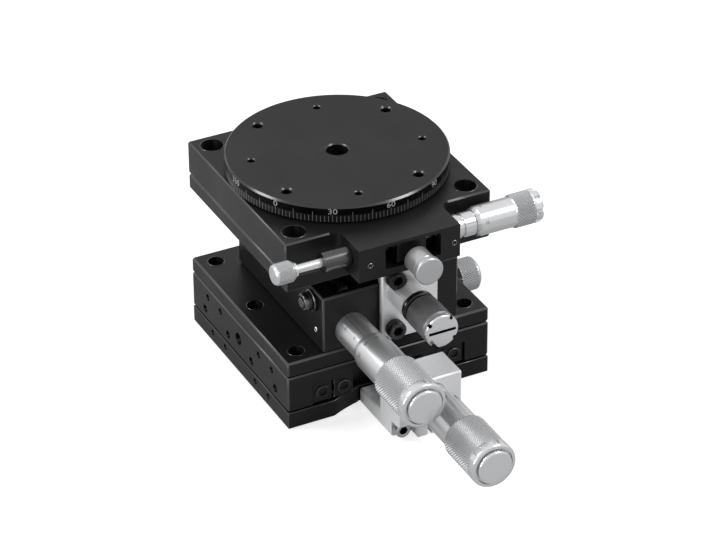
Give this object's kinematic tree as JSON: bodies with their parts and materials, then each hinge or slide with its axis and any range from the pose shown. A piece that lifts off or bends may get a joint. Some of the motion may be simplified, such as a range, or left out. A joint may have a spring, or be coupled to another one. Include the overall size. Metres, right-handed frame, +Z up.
{
  "type": "manual positioning stage",
  "caption": "Hand-driven bench stage that slides in Y, lifts in Z through a bell crank and turns on a graduated turntable, each axis with a micrometer and a clamp knob.",
  "frame": {"origin": "centre of the base plate's underside, on the 60 x 60 mm footprint", "axes": "+X right, +Y to the rear, away from the two long micrometers, +Z up"},
  "size_m": [0.0802, 0.115, 0.0622],
  "materials": {
    "black_anodised": "black anodised, fine satin",
    "satin_aluminium": "satin chrome on the heads, clear anodised on the plates",
    "ground_steel": "ground",
    "black_oxide_steel": "black oxide",
    "grey_anodised": "grey anodised",
    "brass": "machined"
  },
  "bodies": {
    "base": {"y_base_plate": "black_anodised", "y_inner_rail_left": "ground_steel", "y_inner_rail_right": "ground_steel", "y_micrometer_bracket": "satin_aluminium", "y_bracket_screw_left": "ground_steel", "y_bracket_screw_right": "ground_steel", "y_sleeve": "satin_aluminium", "y_spring_rod": "ground_steel", "y_return_spring": "ground_steel", "y_clamp_plate": "black_anodised"},
    "y_cages": {"y_roller_cage_left": "brass", "y_roller_cage_right": "brass"},
    "y_stage": {"y_table": "black_anodised", "y_outer_rail_left": "ground_steel", "y_outer_rail_right": "ground_steel", "y_anvil": "ground_steel", "z_base_plate": "black_anodised", "z_housing": "black_anodised", "z_fixed_rail_left": "ground_steel", "z_fixed_rail_right": "ground_steel", "z_lever_pin": "ground_steel", "z_lever_washer": "satin_aluminium", "z_sleeve": "satin_aluminium", "z_spring_front": "ground_steel", "z_spring_rear": "ground_steel"},
    "y_spindle": {"y_spindle": "ground_steel"},
    "y_thimble": {"y_thimble": "satin_aluminium", "y_thimble_cap": "satin_aluminium"},
    "y_clamp_knob": {"y_clamp_knob": "satin_aluminium"},
    "z_stage": {"z_carriage": "black_anodised", "z_moving_rail_left": "ground_steel", "z_moving_rail_right": "ground_steel", "z_top_plate": "black_anodised", "z_front_arm": "black_anodised", "z_clamp_plate": "satin_aluminium", "z_clamp_plate_screw_lower": "black_oxide_steel", "z_clamp_plate_screw_upper": "black_oxide_steel", "z_clamp_collar": "black_oxide_steel", "theta_body": "black_anodised", "theta_bearing": "ground_steel", "theta_sleeve": "satin_aluminium", "plunger_barrel": "black_oxide_steel", "plunger_spring": "ground_steel"},
    "z_cages": {"z_roller_cage_left": "brass", "z_roller_cage_right": "brass"},
    "z_spindle": {"z_spindle": "ground_steel"},
    "z_thimble": {"z_thimble": "satin_aluminium", "z_thimble_cap": "satin_aluminium"},
    "z_lever": {"z_lever": "ground_steel", "z_lever_roller_lower": "ground_steel", "z_lever_roller_upper": "ground_steel"},
    "z_clamp_knob": {"z_clamp_knob": "grey_anodised"},
    "theta_ring": {"theta_fine_ring": "black_anodised", "theta_brake_shoe": "brass"},
    "turntable": {"theta_turntable": "black_anodised", "theta_retainer": "ground_steel"},
    "theta_clamp_knob": {"theta_clamp_knob": "satin_aluminium"},
    "theta_spindle": {"theta_spindle": "ground_steel"},
    "theta_thimble": {"theta_thimble": "satin_aluminium"},
    "plunger_rod": {"plunger_rod": "satin_aluminium"}
  },
  "joints": [
    {"name": "y_slide", "type": "slide", "parent": "base", "child": "y_stage", "axis": [0, 1, 0], "range_m": [-0.0065, 0.0024]},
    {"name": "y_cage_roll", "type": "slide", "parent": "base", "child": "y_cages", "axis": [0, 1, 0], "range_m": [-0.0033, 0.00125]},
    {"name": "y_spindle_feed", "type": "slide", "parent": "base", "child": "y_spindle", "axis": [0, 1, 0], "range_m": [-0.0066, 0.0025]},
    {"name": "y_thimble_turn", "type": "hinge", "parent": "y_spindle", "child": "y_thimble", "pos_m": [0.002, -0.068, 0.0116], "axis": [0, 1, 0], "range_deg": [-4700, 1740]},
    {"name": "y_clamp_turn", "type": "hinge", "parent": "base", "child": "y_clamp_knob", "pos_m": [0.04, 0.002, 0.01], "axis": [-1, 0, 0], "range_deg": [-360, 0]},
    {"name": "z_slide", "type": "slide", "parent": "y_stage", "child": "z_stage", "axis": [0, 0, 1], "range_m": [-0.0025, 0.0025], "deforming": ["z_spring_front", "z_spring_rear"]},
    {"name": "z_cage_roll", "type": "slide", "parent": "y_stage", "child": "z_cages", "axis": [0, 0, 1], "range_m": [-0.0013, 0.0013]},
    {"name": "z_spindle_feed", "type": "slide", "parent": "y_stage", "child": "z_spindle", "axis": [0, 1, 0], "range_m": [-0.0026, 0.0026]},
    {"name": "z_thimble_turn", "type": "hinge", "parent": "z_spindle", "child": "z_thimble", "pos_m": [-0.0113, -0.055, 0.0264], "axis": [0, 1, 0], "range_deg": [-1810, 1810]},
    {"name": "z_lever_swing", "type": "hinge", "parent": "y_stage", "child": "z_lever", "pos_m": [-0.0113, -0.024, 0.0342], "axis": [1, 0, 0], "range_deg": [-18.5, 18.5]},
    {"name": "z_clamp_turn", "type": "hinge", "parent": "z_stage", "child": "z_clamp_knob", "pos_m": [0.0024, -0.049, 0.0356], "axis": [0, 1, 0], "range_deg": [-360, 0]},
    {"name": "theta_fine", "type": "hinge", "parent": "z_stage", "child": "theta_ring", "pos_m": [0, 0, 0.0513], "axis": [0, 0, 1], "range_deg": [-5, 5]},
    {"name": "turntable_turn", "type": "hinge", "parent": "theta_ring", "child": "turntable", "pos_m": [0, 0, 0.06], "axis": [0, 0, 1], "continuous": true},
    {"name": "theta_clamp_turn", "type": "hinge", "parent": "theta_ring", "child": "theta_clamp_knob", "pos_m": [0.0013, -0.046, 0.0513], "axis": [0, 1, 0], "range_deg": [-360, 0]},
    {"name": "theta_spindle_feed", "type": "slide", "parent": "z_stage", "child": "theta_spindle", "axis": [1, 0, 0], "range_m": [-0.0032, 0.0032]},
    {"name": "theta_thimble_turn", "type": "hinge", "parent": "theta_spindle", "child": "theta_thimble", "pos_m": [0.031, -0.0355, 0.0526], "axis": [1, 0, 0], "range_deg": [-2240, 2240]},
    {"name": "plunger_slide", "type": "slide", "parent": "z_stage", "child": "plunger_rod", "axis": [1, 0, 0], "range_m": [-0.0032, 0.0032]}
  ],
  "couplings": [
    {"joint": "y_cage_roll", "follows": "y_slide", "ratio": 0.5},
    {"joint": "y_spindle_feed", "follows": "y_slide", "ratio": 1},
    {"joint": "y_thimble_turn", "follows": "y_slide", "rad_per_m": 12566},
    {"joint": "z_cage_roll", "follows": "z_slide", "ratio": 0.5},
    {"joint": "z_spindle_feed", "follows": "z_slide", "ratio": 1},
    {"joint": "z_thimble_turn", "follows": "z_slide", "rad_per_m": 12566},
    {"joint": "z_lever_swing", "follows": "z_slide", "rad_per_m": 128.21},
    {"joint": "theta_spindle_feed", "follows": "theta_fine", "m_per_rad": 0.0355},
    {"joint": "theta_thimble_turn", "follows": "theta_fine", "ratio": 446.11},
    {"joint": "plunger_slide", "follows": "theta_fine", "m_per_rad": 0.0355}
  ]
}
